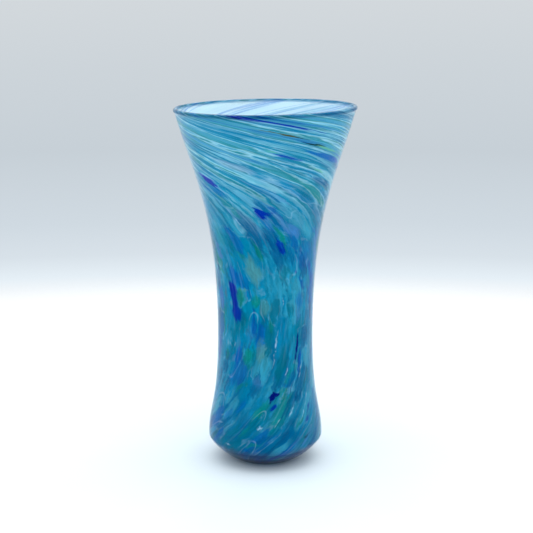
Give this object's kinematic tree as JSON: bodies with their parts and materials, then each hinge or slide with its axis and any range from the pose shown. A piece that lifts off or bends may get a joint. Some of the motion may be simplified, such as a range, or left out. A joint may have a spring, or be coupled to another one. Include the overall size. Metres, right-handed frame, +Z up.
{
  "type": "vase",
  "caption": "Hand blown art glass vase with a flared mouth, slim waist and rounded foot, in blues and greens that swirl round the mouth",
  "frame": {"origin": "on the vase's axis, on the surface it stands on", "axes": "+Z up through the mouth; +X towards the side where the lip stands slightly higher"},
  "size_m": [0.1274, 0.1274, 0.2548],
  "materials": {
    "clear_casing_glass": "clear, fire-polished",
    "clear_gather_glass": "clear, smooth",
    "aqua_ground_glass": "translucent aqua, smooth",
    "cobalt_glass": "dense cobalt, glossy",
    "turquoise_glass": "turquoise, glossy",
    "sea_green_glass": "sea green, glossy",
    "lilac_glass": "pale lilac, glossy",
    "white_glass": "milky white, glossy",
    "olive_glass": "olive brown, glossy"
  },
  "bodies": {
    "root": {"cobalt_chip_1": "cobalt_glass", "cobalt_chip_2": "cobalt_glass", "cobalt_chip_3": "cobalt_glass", "cobalt_chip_4": "cobalt_glass", "cobalt_chip_5": "cobalt_glass", "cobalt_chip_6": "cobalt_glass", "cobalt_chip_7": "cobalt_glass", "colour_ground": "aqua_ground_glass", "inner_gather": "clear_gather_glass", "lilac_chip_1": "lilac_glass", "lilac_chip_2": "lilac_glass", "lilac_chip_3": "lilac_glass", "lilac_chip_4": "lilac_glass", "lilac_chip_5": "lilac_glass", "olive_chip_1": "olive_glass", "outer_casing": "clear_casing_glass", "sea_green_chip_1": "sea_green_glass", "sea_green_chip_2": "sea_green_glass", "sea_green_chip_3": "sea_green_glass", "sea_green_chip_4": "sea_green_glass", "sea_green_chip_5": "sea_green_glass", "sea_green_chip_6": "sea_green_glass", "sea_green_chip_7": "sea_green_glass", "turquoise_chip_1": "turquoise_glass", "turquoise_chip_2": "turquoise_glass", "turquoise_chip_3": "turquoise_glass", "turquoise_chip_4": "turquoise_glass", "turquoise_chip_5": "turquoise_glass", "turquoise_chip_6": "turquoise_glass", "turquoise_chip_7": "turquoise_glass", "turquoise_chip_8": "turquoise_glass", "white_chip_1": "white_glass", "white_chip_2": "white_glass", "white_chip_3": "white_glass", "white_chip_4": "white_glass", "white_chip_5": "white_glass", "white_chip_6": "white_glass", "white_chip_7": "white_glass", "white_chip_8": "white_glass"}
  },
  "joints": []
}
